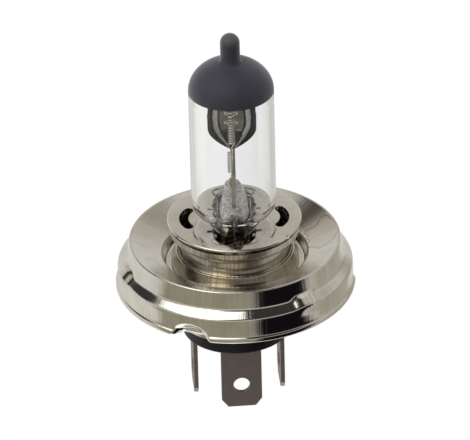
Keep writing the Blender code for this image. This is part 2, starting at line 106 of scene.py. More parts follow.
# Sizes of the glass.
GLASS_SEGMENTS = 160
GLASS_WALL = 0.9 * MM
BORE_RADIUS = GLASS_RADIUS - GLASS_WALL
PINCH_TOP = RIM_LEVEL + 5.5 * MM
BORE_FLOOR = RIM_LEVEL + 6.4 * MM
RIDGE_TOP = RIM_LEVEL + 9.2 * MM
SHOULDER_RADIUS = 3.0 * MM
DOME_HEIGHT = 6.2 * MM
PIP_RADIUS = 1.8 * MM
WRINKLE_SEED = 7

# Sizes of what is inside the glass, and of the leads under it.
SHIELD_SIDES = RIM_LEVEL + 24.1 * MM
# Above this level the middle of the shield gets a paler painted reflection.
SHIELD_PAINTED_LIGHT_LEVEL = RIM_LEVEL + 21.6 * MM
SHIELD_HALF_WIDTH = 4.35 * MM
SHIELD_RIM_Y = -0.6 * MM
SHIELD_DEPTH = 3.4 * MM
SHIELD_SHEET = 0.25 * MM
COIL_RADIUS = 0.58 * MM
COIL_WIRE = 0.16 * MM
LOW_COIL = (-0.15 * MM, -0.9 * MM, RIM_LEVEL + 20.8 * MM, RIM_LEVEL + 27.5 * MM)
HIGH_COIL = (-0.3 * MM, 0.0, RIM_LEVEL + 14.2 * MM, RIM_LEVEL + 18.6 * MM)
LOOP_LEVELS = (RIM_LEVEL + 25.4 * MM, RIM_LEVEL + 27.1 * MM)
LEAD_PITCH = 4.4 * MM
SUPPORT_RADIUS = 0.36 * MM
LEAD_RADIUS = 0.4 * MM

# ------------------------------------------------------------------ meshes


def rounded(points, radius, steps):
    """The points with each inner corner rounded over, by at most radius on each leg."""
    points = [Vector(p) for p in points]
    path = [points[0]]
    for before, corner, after in zip(points, points[1:], points[2:]):
        reach_in = min(radius, (before - corner).length * 0.48)
        reach_out = min(radius, (after - corner).length * 0.48)
        start = corner + (before - corner).normalized() * reach_in
        end = corner + (after - corner).normalized() * reach_out
        for k in range(steps + 1):
            t = k / steps
            path.append(start.lerp(corner, t).lerp(corner.lerp(end, t), t))
    return path + [points[-1]]


def spaced(path, step):
    """The path with its long legs cut into pieces of about one step."""
    out = [path[0]]
    for a, b in zip(path, path[1:]):
        count = max(1, math.ceil((b - a).length / step))
        out += [a.lerp(b, k / count) for k in range(1, count + 1)]
    return out


def sheet_section(face, thickness):
    """A closed section of sheet, which lies on the right of the face's direction."""
    back = []
    for i, point in enumerate(face):
        before = face[max(i - 1, 0)]
        after = face[min(i + 1, len(face) - 1)]
        leg = (after - before).normalized()
        back.append(point + Vector((leg.y, -leg.x)) * thickness)
    front_edge = face[0].lerp(back[0], 0.5) + (face[0] - face[1]).normalized() * thickness * 0.25
    back_edge = face[-1].lerp(back[-1], 0.5) + (face[-1] - face[-2]).normalized() * thickness * 0.25
    return [front_edge] + face + [back_edge] + back[::-1]


def from_rim(points):
    """(radius, level) pairs in millimetres, the level counted from the rim of the flange."""
    return [Vector((r * MM, RIM_LEVEL + z * MM)) for r, z in points]


def skin(name, rings, closed=False, wrap=True):
    """A mesh over rings of points, with a face on each end or closed in a loop."""
    bm = bmesh.new()
    rows = [[bm.verts.new(point) for point in ring] for ring in rings]
    pairs = list(zip(rows, rows[1:]))
    if closed:
        pairs.append((rows[-1], rows[0]))
    for low, high in pairs:
        last = len(low) if wrap else len(low) - 1
        for i in range(last):
            j = (i + 1) % len(low)
            bm.faces.new((low[i], low[j], high[j], high[i]))
    if wrap and not closed:
        bm.faces.new(rows[0])
        bm.faces.new(rows[-1])
    bmesh.ops.recalc_face_normals(bm, faces=bm.faces)
    mesh = bpy.data.meshes.new(name)
    bm.to_mesh(mesh)
    bm.free()
    return mesh


def at_angle(radius, angle, level):
    return (radius * math.sin(angle), -radius * math.cos(angle), level)


def turned_ring(name, section, segments, press=None):
    rings = []
    for k in range(segments):
        angle = 2 * math.pi * k / segments
        points = [press(angle, p[0], p[1]) if press else p for p in section]
        rings.append([at_angle(r, angle, z) for r, z in points])
    return skin(name, rings, closed=True)


def turned_solid(name, outline, segments):
    angles = [2 * math.pi * k / segments for k in range(segments)]
    return skin(name, [[at_angle(r, a, z) for a in angles] for r, z in outline])


def tube(name, points, radius, sides=12):
    """A round wire along the points, its section carried along without twist."""
    points = [Vector(p) for p in points]
    rings = []
    across = Vector((1, 0, 0))
    for i, point in enumerate(points):
        ahead = points[min(i + 1, len(points) - 1)] - points[max(i - 1, 0)]
        ahead.normalize()
        across = (across - ahead * across.dot(ahead)).normalized()
        other = ahead.cross(across)
        ring = []
        for k in range(sides):
            angle = 2 * math.pi * k / sides
            ring.append(point + (across * math.cos(angle) + other * math.sin(angle)) * radius)
        rings.append(ring)
    return skin(name, rings)


def add_piece(name, mesh, material, nodes, sharp_angle=40.0):
    """Shows a mesh as one piece of the lamp, in place of its CAD nodes."""
    mesh.materials.append(material)
    mesh.shade_smooth()
    mesh.set_sharp_from_angle(angle=math.radians(sharp_angle))
    piece = bpy.data.objects.new(name, mesh)
    bpy.context.scene.collection.objects.link(piece)
    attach(piece, ROOT)
    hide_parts(*nodes)
    return piece


def joined(name, meshes):
    """The meshes together in one, none of them changed."""
    bm = bmesh.new()
    for mesh in meshes:
        bm.from_mesh(mesh)
    together = bpy.data.meshes.new(name)
    bm.to_mesh(together)
    bm.free()
    return together


def cut_from(piece, mesh, operation="DIFFERENCE", place=None, folded=False):
    """Applies a Boolean of one mesh to the piece. A folded mesh may run through itself."""
    other = bpy.data.objects.new("cutter", mesh)
    bpy.context.scene.collection.objects.link(other)
    if place:
        other.matrix_world = place
    step = piece.modifiers.new("cut", "BOOLEAN")
    step.operation = operation
    step.solver = "EXACT"
    step.use_self = folded
    step.object = other
    bpy.context.view_layer.update()
    cut = bpy.data.meshes.new_from_object(piece.evaluated_get(bpy.context.evaluated_depsgraph_get()))
    piece.modifiers.clear()
    piece.data = cut
    bpy.data.objects.remove(other)


def bevel(piece, width, segments=2, angle=40.0):
    step = piece.modifiers.new("edges", "BEVEL")
    step.width = width
    step.segments = segments
    step.limit_method = "ANGLE"
    step.angle_limit = math.radians(angle)
    step.harden_normals = True


# ------------------------------------------------------------------ materials


class Nodes:
    """Short ways to add and link a material's nodes."""

    def __init__(self, tree):
        self.tree = tree

    def add(self, kind, inputs=None, **settings):
        node = self.tree.nodes.new(kind)
        for key, value in settings.items():
            setattr(node, key, value)
        for key, value in (inputs or {}).items():
            self.feed(node.inputs[key], value)
        return node

    def feed(self, socket, value):
        if isinstance(value, bpy.types.NodeSocket):
            self.tree.links.new(value, socket)
        elif isinstance(value, bpy.types.Node):
            self.tree.links.new(value.outputs[0], socket)
        else:
            socket.default_value = value

    def math(self, operation, a, b=0.0, c=0.0):
        return self.add("ShaderNodeMath", {0: a, 1: b, 2: c}, operation=operation).outputs[0]

    def smooth(self, value, low, high):
        """0 below low, 1 above high; the other way round where low is above high."""
        inputs = {"Value": value, "From Min": low, "From Max": high}
        return self.add("ShaderNodeMapRange", inputs, interpolation_type="SMOOTHSTEP").outputs[0]

    def blend(self, factor, a, b):
        node = self.add("ShaderNodeMix", data_type="RGBA")
        self.feed(node.inputs[0], factor)
        self.feed(node.inputs[6], a)
        self.feed(node.inputs[7], b)
        return node.outputs[2]

    def noise(self, vector, scale, detail=2.0, roughness=0.5):
        inputs = {"Vector": vector, "Scale": scale, "Detail": detail, "Roughness": roughness}
        return self.add("ShaderNodeTexNoise", inputs).outputs[0]

    def bump(self, height, strength, distance):
        inputs = {"Height": height, "Strength": strength, "Distance": distance}
        return self.add("ShaderNodeBump", inputs)

    def stretch(self, vector, factors):
        return self.add("ShaderNodeVectorMath", {0: vector, 1: factors}, operation="MULTIPLY").outputs[0]


def new_material(name, roughness, metallic=0.0):
    material = bpy.data.materials.new(name)
    material.use_nodes = True
    shader = material.node_tree.nodes["Principled BSDF"]
    shader.inputs["Roughness"].default_value = roughness
    shader.inputs["Metallic"].default_value = metallic
    return material, shader, Nodes(material.node_tree)


def colour(r, g, b):
    return (r, g, b, 1.0)


def position(n):
    """The point on the surface in the lamp's own frame, and its parts."""
    point = n.add("ShaderNodeTexCoord").outputs["Object"]
    parts = n.add("ShaderNodeSeparateXYZ", {0: point})
    return point, parts.outputs[0], parts.outputs[1], parts.outputs[2]


def meridian_lines(n, x, y, z, lines, lengthen=40.0):
    """Fine lines that run up and down a turned wall, as a drawing die leaves them."""
    angle = n.math("ARCTAN2", y, x)
    across = n.add("ShaderNodeCombineXYZ", {0: n.math("COSINE", angle), 1: n.math("SINE", angle)})
    scaled = n.add("ShaderNodeVectorMath", {0: across.outputs[0], 3: lines}, operation="SCALE")
    raised = n.add("ShaderNodeCombineXYZ", {2: n.math("MULTIPLY", z, lengthen)})
    vector = n.add("ShaderNodeVectorMath", {0: scaled.outputs[0], 1: raised.outputs[0]}, operation="ADD")
    return n.noise(vector.outputs[0], 1.0, 3.0, 0.6)


NICKEL = colour(0.70, 0.675, 0.63)
DULL_NICKEL = colour(0.62, 0.59, 0.54)
LINE_NICKEL = colour(0.40, 0.36, 0.30)


def nickel(name, roughness, lines, line_depth, line_tone, stained=False, painted_shade_inside=0.0):
    """Bright nickel plate, with drawing lines, faint handling marks and cloudy tone.

    The last argument is the radius inside which the metal is darkened with painted shade, towards +X and
    towards -X.
    """
    material, shader, n = new_material(name, roughness, 1.0)
    point, x, y, z = position(n)
    streaks = meridian_lines(n, x, y, z, lines)
    clouds = n.noise(point, 260.0, 3.0)
    specks = n.smooth(n.noise(point, 2600.0, 1.0), 0.69, 0.76)
    tone = n.blend(n.smooth(clouds, 0.35, 0.75), NICKEL, DULL_NICKEL)
    tone = n.blend(n.math("MULTIPLY", n.smooth(streaks, 0.42, 0.62), line_tone), tone, LINE_NICKEL)
    tone = n.blend(n.math("MULTIPLY", specks, 0.35), tone, colour(0.30, 0.27, 0.24))
    if stained:
        tone = tide_mark(n, point, tone)
    if painted_shade_inside:
        # Painted shade: the inside of the collar is darkened towards +X and -X, where it is seen through
        # the kidney slots.
        radius = n.math("SQRT", n.math("ADD", n.math("POWER", x, 2.0), n.math("POWER", y, 2.0)))
        painted_shade_mask = n.smooth(radius, painted_shade_inside, painted_shade_inside - 0.1 * MM)
        painted_shade_mask = n.math("MULTIPLY", painted_shade_mask, n.smooth(n.math("ABSOLUTE", x), *PAINTED_SHADE_REACH))
        tone = n.blend(painted_shade_mask, tone, colour(0.015, 0.013, 0.012))
    n.feed(shader.inputs["Base Color"], tone)
    rough = n.math("MULTIPLY_ADD", streaks, roughness * 0.8, roughness * 0.6)
    rough = n.math("MULTIPLY_ADD", clouds, roughness * 0.3, rough)
    n.feed(shader.inputs["Roughness"], rough)
    n.feed(shader.inputs["Normal"], n.bump(streaks, 1.0, line_depth))
    return material


def tide_mark(n, point, tone):
    """A dried-on stain with a thin brown edge, on the +X side of the flange's dish."""
    centre = (16.3 * MM, 2.6 * MM, RIM_LEVEL - 1.2 * MM)
    away = n.add("ShaderNodeVectorMath", {0: point, 1: centre}, operation="SUBTRACT")
    squashed = n.stretch(away.outputs[0], (0.75, 0.5, 0.5))
    reach = n.add("ShaderNodeVectorMath", {0: squashed}, operation="LENGTH").outputs["Value"]
    wobble = n.noise(point, 300.0, 2.0)
    reach = n.math("MULTIPLY_ADD", n.math("SUBTRACT", wobble, 0.5), 2.4 * MM, reach)
    inside = n.smooth(reach, 2.35 * MM, 2.2 * MM)
    edge = n.math("MULTIPLY", inside, n.smooth(reach, 2.0 * MM, 2.2 * MM))
    tone = n.blend(n.math("MULTIPLY", inside, 0.2), tone, colour(0.60, 0.52, 0.40))
    return n.blend(n.math("MULTIPLY", edge, 0.5), tone, colour(0.26, 0.17, 0.09))


def contact_metal():
    """Dull tin plate: brown-grey, blotched, with rolling lines and small pits."""
    material, shader, n = new_material("contact_metal", 0.5, 0.85)
    point = position(n)[0]
    blotches = n.noise(point, 420.0, 4.0, 0.6)
    pits = n.smooth(n.noise(point, 3000.0, 1.0), 0.70, 0.76)
    rolling = n.noise(n.stretch(point, (4200.0, 4200.0, 300.0)), 1.0, 2.0)
    tone = n.blend(blotches, colour(0.25, 0.208, 0.215), colour(0.33, 0.274, 0.285))
    tone = n.blend(n.math("MULTIPLY", pits, 0.7), tone, colour(0.05, 0.045, 0.04))
    n.feed(shader.inputs["Base Color"], tone)
    n.feed(shader.inputs["Roughness"], n.math("MULTIPLY_ADD", blotches, 0.2, 0.42))
    n.feed(shader.inputs["Normal"], n.bump(rolling, 0.5, 0.01 * MM))
    return material


def black_plastic():
    """Moulded black phenolic with a fine grain."""
    material, shader, n = new_material("black_plastic", 0.45)
    point = position(n)[0]
    grain = n.noise(point, 5200.0, 2.0)
    patches = n.noise(point, 300.0, 2.0)
    tone = n.blend(patches, colour(0.008, 0.005, 0.011), colour(0.016, 0.011, 0.02))
    n.feed(shader.inputs["Base Color"], tone)
    shader.inputs["Specular IOR Level"].default_value = 0.25
    n.feed(shader.inputs["Roughness"], n.math("MULTIPLY_ADD", patches, 0.2, 0.36))
    n.feed(shader.inputs["Normal"], n.bump(grain, 0.4, 0.01 * MM))
    return material


def black_coating():
    """Slate-black heatproof paint: matt, faintly mottled, with a painted highlight at the tip and paler
    at its edges.
    """
    material, shader, n = new_material("black_coating", 0.62)
    point, _, _, z = position(n)
    mottle = n.noise(point, 700.0, 5.0, 0.6)
    grain = n.noise(point, 4200.0, 3.0)
    tone = n.blend(mottle, colour(0.025, 0.025, 0.048), colour(0.046, 0.045, 0.080))
    # Painted highlight: the tip is painted paler, where light from above falls on it.
    painted_tip_highlight = n.math("MULTIPLY", n.smooth(z, TIP_LEVEL - 2.4 * MM, TIP_LEVEL - 0.4 * MM), 0.7)
    n.feed(shader.inputs["Base Color"], n.blend(painted_tip_highlight, tone, colour(0.135, 0.125, 0.140)))
    n.feed(shader.inputs["Roughness"], n.math("MULTIPLY_ADD", mottle, 0.25, 0.48))
    shader.inputs["Sheen Weight"].default_value = 0.75
    shader.inputs["Sheen Roughness"].default_value = 0.45
    shader.inputs["Sheen Tint"].default_value = colour(0.8, 0.85, 0.9)
    n.feed(shader.inputs["Normal"], n.bump(grain, 0.5, 0.015 * MM))
    return material


def quartz_glass():
    """Clear quartz with faint draw lines along the tube, painted shade towards +X, and milky where it
    was pinched.
    """
    material, shader, n = new_material("quartz_glass", 0.0)
    point, x, y, z = position(n)
    # Painted shade: the glass is tinted a little darker towards +X.
    painted_side_shade = n.smooth(x, -7.0 * MM, 9.0 * MM)
    tone = n.blend(painted_side_shade, colour(0.955, 0.962, 0.96), colour(0.90, 0.90, 0.905))
    n.feed(shader.inputs["Base Color"], tone)
    shader.inputs["IOR"].default_value = 1.458
    veins = n.smooth(n.noise(point, 1500.0, 3.0), 0.40, 0.56)
    radius = n.math("SQRT", n.math("ADD", n.math("POWER", x, 2.0), n.math("POWER", y, 2.0)))
    below = n.smooth(z, RIDGE_TOP + 1.3 * MM, RIDGE_TOP + 0.9 * MM)
    pinched = n.math("MULTIPLY", below, n.smooth(z, BORE_FLOOR, BORE_FLOOR + 0.5 * MM))
    pinched = n.math("MULTIPLY", pinched, n.smooth(n.math("ABSOLUTE", x), 3.1 * MM, 2.7 * MM))
    pinched = n.math("MULTIPLY", pinched, n.smooth(radius, 6.9 * MM, 6.4 * MM))
    milky = n.math("MULTIPLY", pinched, n.math("MULTIPLY_ADD", veins, 0.5, 0.46))
    n.feed(shader.inputs["Transmission Weight"], n.math("SUBTRACT", 1.0, milky))
    lines = n.noise(n.stretch(point, (900.0, 900.0, 14.0)), 1.0, 3.0)
    n.feed(shader.inputs["Roughness"], n.math("MULTIPLY", lines, 0.003))
    return material


def bright_metal(name, tone, roughness, mark_scale):
    """Bare metal with fine marks along its length."""
    material, shader, n = new_material(name, roughness, 1.0)
    point = position(n)[0]
    marks = n.noise(n.stretch(point, (mark_scale, mark_scale, mark_scale / 12)), 1.0, 3.0)
    darker = colour(tone[0] * 0.7, tone[1] * 0.68, tone[2] * 0.66)
    n.feed(shader.inputs["Base Color"], n.blend(marks, darker, tone))
    n.feed(shader.inputs["Roughness"], n.math("MULTIPLY_ADD", marks, roughness, roughness * 0.5))
    n.feed(shader.inputs["Normal"], n.bump(marks, 0.4, 0.006 * MM))
    return material


def shield_sheet():
    """Bright sheet with its light and shade painted in: painted shade over most of it, darkest along its
    rim and at its foot, a painted highlight band inside each side, and a paler painted reflection in its
    upper middle.
    """
    material, shader, n = new_material("shield_sheet", 0.05, 1.0)
    point, x, _, z = position(n)
    cloud = n.noise(point, 600.0, 3.0)
    below = n.math("DIVIDE", n.math("SUBTRACT", SHIELD_SIDES, z), SHIELD_SIDES - SHIELD_TIP)
    below = n.math("MAXIMUM", below, 0.0)
    width = n.math("MAXIMUM", n.math("SUBTRACT", 1.0, n.math("MULTIPLY", below, below)), 0.08)
    across = n.math("DIVIDE", n.math("DIVIDE", n.math("ABSOLUTE", x), SHIELD_HALF_WIDTH), width)
    across = n.math("MULTIPLY_ADD", n.math("SUBTRACT", cloud, 0.5), 0.06, across)
    # Painted highlight: a white band inside each side.
    painted_highlight = n.math("MULTIPLY", n.smooth(across, 0.60, 0.66), n.smooth(across, 0.84, 0.80))
    # Painted reflection: the middle above a set level is paler; elsewhere the dark tone is painted
    # shade.
    middle = n.math("MULTIPLY", n.smooth(across, 0.54, 0.50), n.smooth(z, SHIELD_PAINTED_LIGHT_LEVEL, SHIELD_PAINTED_LIGHT_LEVEL + MM))
    tone = n.blend(middle, colour(0.055, 0.053, 0.06), colour(0.50, 0.48, 0.41))
    tone = n.blend(painted_highlight, tone, colour(1.0, 1.0, 0.99))
    # Painted shade: darkest along the rim.
    tone = n.blend(n.smooth(across, 0.84, 0.88), tone, colour(0.03, 0.03, 0.04))
    n.feed(shader.inputs["Base Color"], tone)
    # The painted highlight and the painted reflection are made partly matt, so they stay pale.
    dull = n.math("MULTIPLY_ADD", middle, 0.55, n.math("MULTIPLY", painted_highlight, 0.9))
    n.feed(shader.inputs["Metallic"], n.math("SUBTRACT", 1.0, dull))
    n.feed(shader.inputs["Roughness"], n.math("MULTIPLY_ADD", cloud, 0.06, 0.08))
    return material


# ------------------------------------------------------------------ the cap


def smooth_step(value):
    value = min(1.0, max(0.0, value))
    return value * value * (3 - 2 * value)


def pressed_flange(angle, radius, level):
    """The flange's scallops, scooped in at the lip, and its lugs, which lift the step."""
    below = (level - RIM_LEVEL) / MM
    for centre in SCALLOP_ANGLES:
        across = math.remainder(angle - centre, 2 * math.pi) * FLANGE_RADIUS / SCALLOP_HALF_WIDTH
        up = (level - LIP_LEVEL) / SCALLOP_HEIGHT
        reach = math.hypot(across, up)
        if reach < 1 and radius > 0.9 * FLANGE_RADIUS:
            depth = SCALLOP_DEPTH * (0.35 + 0.65 * (1 - up))
            radius -= depth * smooth_step((1 - reach) / 0.5)
    for centre in LUG_ANGLES:
        across = abs(math.remainder(angle - centre, 2 * math.pi)) * FLANGE_RADIUS / MM
        if across < LUG_HALF_WIDTH and radius > 0.82 * FLANGE_RADIUS:
            swell = smooth_step((LUG_HALF_WIDTH - across) / 2.6)
            band = smooth_step((-2.4 - below) / 1.2) * smooth_step((below + 6.6) / 2.0)
            level += LUG_HEIGHT * swell * band
            radius += LUG_HEIGHT * swell * band
    return radius, level


def flange_ring(metal):
    corners = from_rim(
        [
            (11.2, -5.0),
            (13.0, -5.0),
            (13.6, -2.55),
            (19.72, 0.2),
            (20.4, -3.3),
            (22.0, -4.8),
            (22.05, -8.15),
            (22.45, -8.5),
            (22.5, -8.95),
            (22.42, -9.3),
            (22.2, -9.42),
        ]
    )
    face = spaced(rounded(corners, 0.5 * MM, 6), 0.3 * MM)
    section = sheet_section(face, FLANGE_SHEET)
    mesh = turned_ring("flange", section, 360, pressed_flange)
    return add_piece("flange", mesh, metal, ["flange_ring"], 60)


def base_sleeve(metal):
    corners = from_rim([(11.1, -2.2), (11.25, -3.3), (11.95, -4.75)])
    face = spaced(rounded(corners, 0.9 * MM, 6), 0.4 * MM)
    mesh = turned_ring("sleeve", sheet_section(face, 0.3 * MM), 240)
    return add_piece("sleeve", mesh, metal, ["base_sleeve"], 60)


def base_shell(metal):
    corners = from_rim([(10.95, -16.1), (11.0, -15.4), (11.0, -6.2), (12.6, -6.2)])
    face = spaced(rounded(corners, 0.5 * MM, 5), 0.6 * MM)
    mesh = turned_ring("shell", sheet_section(face[::-1], -0.4 * MM), 200)
    return add_piece("shell", mesh, metal, ["base_shell"], 60)


def holder_collar(metal):
    corners = from_rim([(10.72, -4.1), (10.72, 1.3), (12.15, 1.8), (12.15, 3.35)])
    face = spaced(rounded(corners, 0.6 * MM, 8), 0.5 * MM)
    mesh = turned_ring("collar", sheet_section(face, -0.45 * MM), 300)
    return add_piece("collar", mesh, metal, ["holder_collar"], 60)


def stadium(half_width, half_length, steps=16):
    straight = half_length - half_width
    points = []
    for side in (1, -1):
        for k in range(steps + 1):
            angle = math.pi * k / steps
            x = side * half_width * math.cos(angle)
            points.append((x, side * (straight + half_width * math.sin(angle))))
    return points


def kidney(side, steps=14):
    """A bean-shaped slot's outline, with round ends, on the +X or the -X side."""
    middle_x, middle_y = KIDNEY_CENTRE
    half, turn = KIDNEY_HALF_WIDTH, KIDNEY_HALF_ANGLE
    end_x, end_y = KIDNEY_BEND * math.cos(turn), KIDNEY_BEND * math.sin(turn)
    arcs = [
        (0.0, 0.0, KIDNEY_BEND + half, -turn, turn),
        (end_x, end_y, half, turn, math.pi + turn),
        (0.0, 0.0, KIDNEY_BEND - half, turn, -turn),
        (end_x, -end_y, half, math.pi - turn, 2 * math.pi - turn),
    ]
    points = []
    for x, y, radius, start, stop in arcs:
        for k in range(steps):
            angle = start + (stop - start) * k / steps
            across = middle_x + x + radius * math.cos(angle)
            points.append((side * across, middle_y + y + radius * math.sin(angle)))
    return points


def prism(outline, low, high):
    return skin("prism", [[(x, y, z) for x, y in outline] for z in (low, high)])


def holder_disc(metal):
    edge = 0.3 * MM
    outline = [(DISC_RADIUS - edge, DISC_LEVEL - DISC_THICKNESS)]
    for k in range(9):
        angle = math.pi * (k / 8 - 0.5)
        level = DISC_LEVEL - DISC_THICKNESS / 2 + DISC_THICKNESS / 2 * math.sin(angle)
        outline.append((DISC_RADIUS - edge + edge * math.cos(angle), level))
    mesh = turned_solid("disc", outline, 300)
    disc = add_piece("disc", mesh, metal, ["holder_disc"], 35)
    low, high = DISC_LEVEL - MM, DISC_LEVEL + MM
    opening = stadium(OPENING_HALF_WIDTH, OPENING_HALF_LENGTH)
    cut_from(disc, prism([(x, y + OPENING_Y) for x, y in opening], low, high))
    for side in (1, -1):
        cut_from(disc, prism(kidney(side), low, high))
        for y0, y1 in SLITS:
            x0, x1 = (side * reach for reach in SLIT_REACH)
            slit = [(x0, y0), (x1, y0), (x1, y1), (x0, y1)]
            cut_from(disc, prism(slit, low, high))
        cut_from(disc, holder_tab(side), "UNION")
    notch = [(-0.4, -0.5), (0.4, -0.5), (0.1, 0.4), (-0.1, 0.4)]
    outline = [(x * MM, y * MM - DISC_RADIUS) for x, y in notch]
    for degrees in CRIMPS:
        turn = Matrix.Rotation(math.radians(degrees), 4, "Z")
        cut_from(disc, prism(outline, low, high), place=turn)
    disc.data.shade_smooth()
    disc.data.set_sharp_from_angle(angle=math.radians(35))
    return disc


def holder_tab(side):
    path = from_rim([(4.3, 4.3), (3.9, 4.25), (3.2, 3.2), (2.95, 1.6), (2.95, -0.6)])
    face = rounded(path, 0.6 * MM, 4)
    section = sheet_section(face, 0.4 * MM)
    ends = (OPENING_Y - 3.7 * MM, OPENING_Y + 3.7 * MM)
    return skin("tab", [[(side * x, y, z) for x, z in section] for y in ends])


def contact_place(turn):
    return Matrix.Rotation(CONTACT_YAW + turn, 4, "Z")


def base_insulator(plastic):
    edge = 0.5 * MM
    outline = []
    for k in range(7):
        angle = math.pi / 2 * k / 6
        radius = INSULATOR_RADIUS - edge + edge * math.sin(angle)
        outline.append((radius, INSULATOR_BOTTOM + edge - edge * math.cos(angle)))
    outline.append((INSULATOR_RADIUS, INSULATOR_TOP))
    mesh = turned_solid("insulator", outline, 160)
    body = add_piece("insulator", mesh, plastic, ["base_insulator"], 35)
    half_x, half_y = 4.1 * MM, 0.55 * MM
    corners = [(-half_x, -half_y), (half_x, -half_y), (half_x, half_y), (-half_x, half_y)]
    slot_outline = [(x, y - CONTACT_OFFSET) for x, y in corners]
    for turn in CONTACTS.values():
        slot = prism(slot_outline, INSULATOR_BOTTOM - MM, INSULATOR_TOP + MM)
        cut_from(body, slot, place=contact_place(turn))
    recess = [(3.2 * MM, INSULATOR_BOTTOM - MM), (3.0 * MM, INSULATOR_BOTTOM + 0.8 * MM)]
    cut_from(body, turned_solid("recess", recess, 64))
    body.data.shade_smooth()
    body.data.set_sharp_from_angle(angle=math.radians(35))
    return body


def contact_blade(name, turn, metal):
    """A flat blade with a latch hole, bent over the insulator into a narrow lug."""
    half = BLADE_HALF_THICKNESS
    lug = INSULATOR_TOP + 0.3 * MM + half
    width = BLADE_HALF_WIDTH
    stations = [
        (-CONTACT_OFFSET, 0.0, width - 1.2 * MM, (half, 0.0)),
        (-CONTACT_OFFSET, 1.6 * MM, width, (half, 0.0)),
        (-CONTACT_OFFSET, lug, width, (half, -half)),
        (-6.9 * MM, lug, width, (0.0, -half)),
        (-6.3 * MM, lug, 1.8 * MM, (0.0, -half)),
        (-4.3 * MM, lug, 1.8 * MM, (0.0, -half)),
    ]
    rings = []
    for y, z, across, (dy, dz) in stations:
        front, back = (y - dy, z - dz), (y + dy, z + dz)
        rings.append([(-across, *front), (across, *front), (across, *back), (-across, *back)])
    mesh = skin(name, rings)
    blade = add_piece(name + "_blade", mesh, metal, [name], 30)
    angles = [2 * math.pi * k / 64 for k in range(64)]
    radius = LATCH_HOLE_RADIUS
    hole = [
        [(radius * math.cos(a), y, LATCH_HOLE_LEVEL + radius * math.sin(a)) for a in angles]
        for y in (-CONTACT_OFFSET - MM, -CONTACT_OFFSET + MM)
    ]
    cut_from(blade, skin("hole", hole))
    blade.data.transform(contact_place(turn))
    bevel(blade, 0.07 * MM)
    return blade


# ------------------------------------------------------------------ the glass


def superellipse(half_x, half_y, power, level, segments=GLASS_SEGMENTS):
    ring = []
    for k in range(segments):
        angle = 2 * math.pi * k / segments
        c, s = math.cos(angle), math.sin(angle)
        x = half_x * math.copysign(abs(c) ** (2 / power), c)
        y = half_y * math.copysign(abs(s) ** (2 / power), s)
        ring.append(Vector((x, y, level)))
    return ring


def wrinkled(ring, amount):
    """Glass that has flowed and set: each point moves along a smooth field of noise.

    glass_envelope seeds the field, because Blender otherwise seeds it from the clock.
    """
    moved = []
    for point in ring:
        field = noise.noise_vector(point * 420) + noise.noise_vector(point * 1000) * 0.3
        moved.append(point + field * amount)
    return moved


def dome_outline(inset, steps=24):
    """(radius, level) of the dome, the neck's fillet and the pip, from the rim of the coating."""
    points = []
    neck = math.acos((PIP_RADIUS + 0.3 * MM) / GLASS_RADIUS)
    for k in range(steps + 1):
        angle = neck * k / steps
        radius = (GLASS_RADIUS - inset) * math.cos(angle)
        points.append(Vector((radius, COATING_LEVEL + (DOME_HEIGHT - inset) * math.sin(angle))))
    pip = PIP_RADIUS - inset
    shoulder = COATING_LEVEL + DOME_HEIGHT + 0.1 * MM - inset
    points.append(Vector((pip, shoulder + 0.5 * MM)))
    points.append(Vector((pip, TIP_LEVEL - inset - pip)))
    points = points[:-3] + rounded(points[-4:], 0.35 * MM, 6)[1:]
    for k in range(1, 13):
        angle = math.radians(86) * k / 12
        points.append(Vector((pip * math.cos(angle), TIP_LEVEL - inset - pip * (1 - math.sin(angle)))))
    return points


def corner(radius, level, size, steps=14):
    """(radius, level) points round the foot of a cylinder, from its flat floor to its wall."""
    points = [Vector((radius - size, level))]
    for k in range(1, steps + 1):
        angle = math.pi / 2 * k / steps
        across = size * math.sin(angle)
        points.append(Vector((radius - size + across, level + size * (1 - math.cos(angle)))))
    return points


def glass_outside():
    """The tube and its dome, turned, with a rounded foot."""
    outline = [Vector((2.0 * MM, PINCH_TOP))] + corner(GLASS_RADIUS, PINCH_TOP, SHOULDER_RADIUS)
    outline.append(Vector((GLASS_RADIUS, COATING_LEVEL - 0.1 * MM)))
    outline = spaced(outline, 1.5 * MM) + dome_outline(0.05 * MM)
    return turned_solid("capsule", outline, GLASS_SEGMENTS)


def beaded(ring):
    """The pinch's two long edges are thicker than its middle."""
    out = []
    for p in ring:
        edge = smooth_step((abs(p.y) - 4.6 * MM) / (1.6 * MM))
        out.append(Vector((p.x * (1 + 0.3 * edge), p.y, p.z)))
    return out


def pinch_slab():
    """The flat seal below the tube, with thick rounded edges and flow lines."""
    rings = []
    top = PINCH_TOP + 1.2 * MM
    for k in range(41):
        level = PINCH_BOTTOM + (top - PINCH_BOTTOM) * k / 40
        flare = smooth_step((level - PINCH_TOP + 1.6 * MM) / (2.8 * MM))
        ring = superellipse((2.3 + 1.5 * flare) * MM, 7.25 * MM, 5, level)
        rings.append(wrinkled(beaded(ring), 0.14 * MM))
    return skin("pinch", rings)


def gas_space():
    """A round bore with a rounded floor and a domed end."""
    outline = [Vector((1.5 * MM, BORE_FLOOR))]
    outline += corner(BORE_RADIUS, BORE_FLOOR, SHOULDER_RADIUS - GLASS_WALL)
    straight = COATING_LEVEL - 1.5 * MM
    outline = spaced(outline + [Vector((BORE_RADIUS, straight))], 1.5 * MM)
    for k in range(1, 15):
        angle = math.radians(84) * k / 14
        level = straight + (DOME_HEIGHT + 0.2 * MM) * math.sin(angle)
        outline.append(Vector((BORE_RADIUS * math.cos(angle), level)))
    return turned_solid("gas_space", outline, GLASS_SEGMENTS)


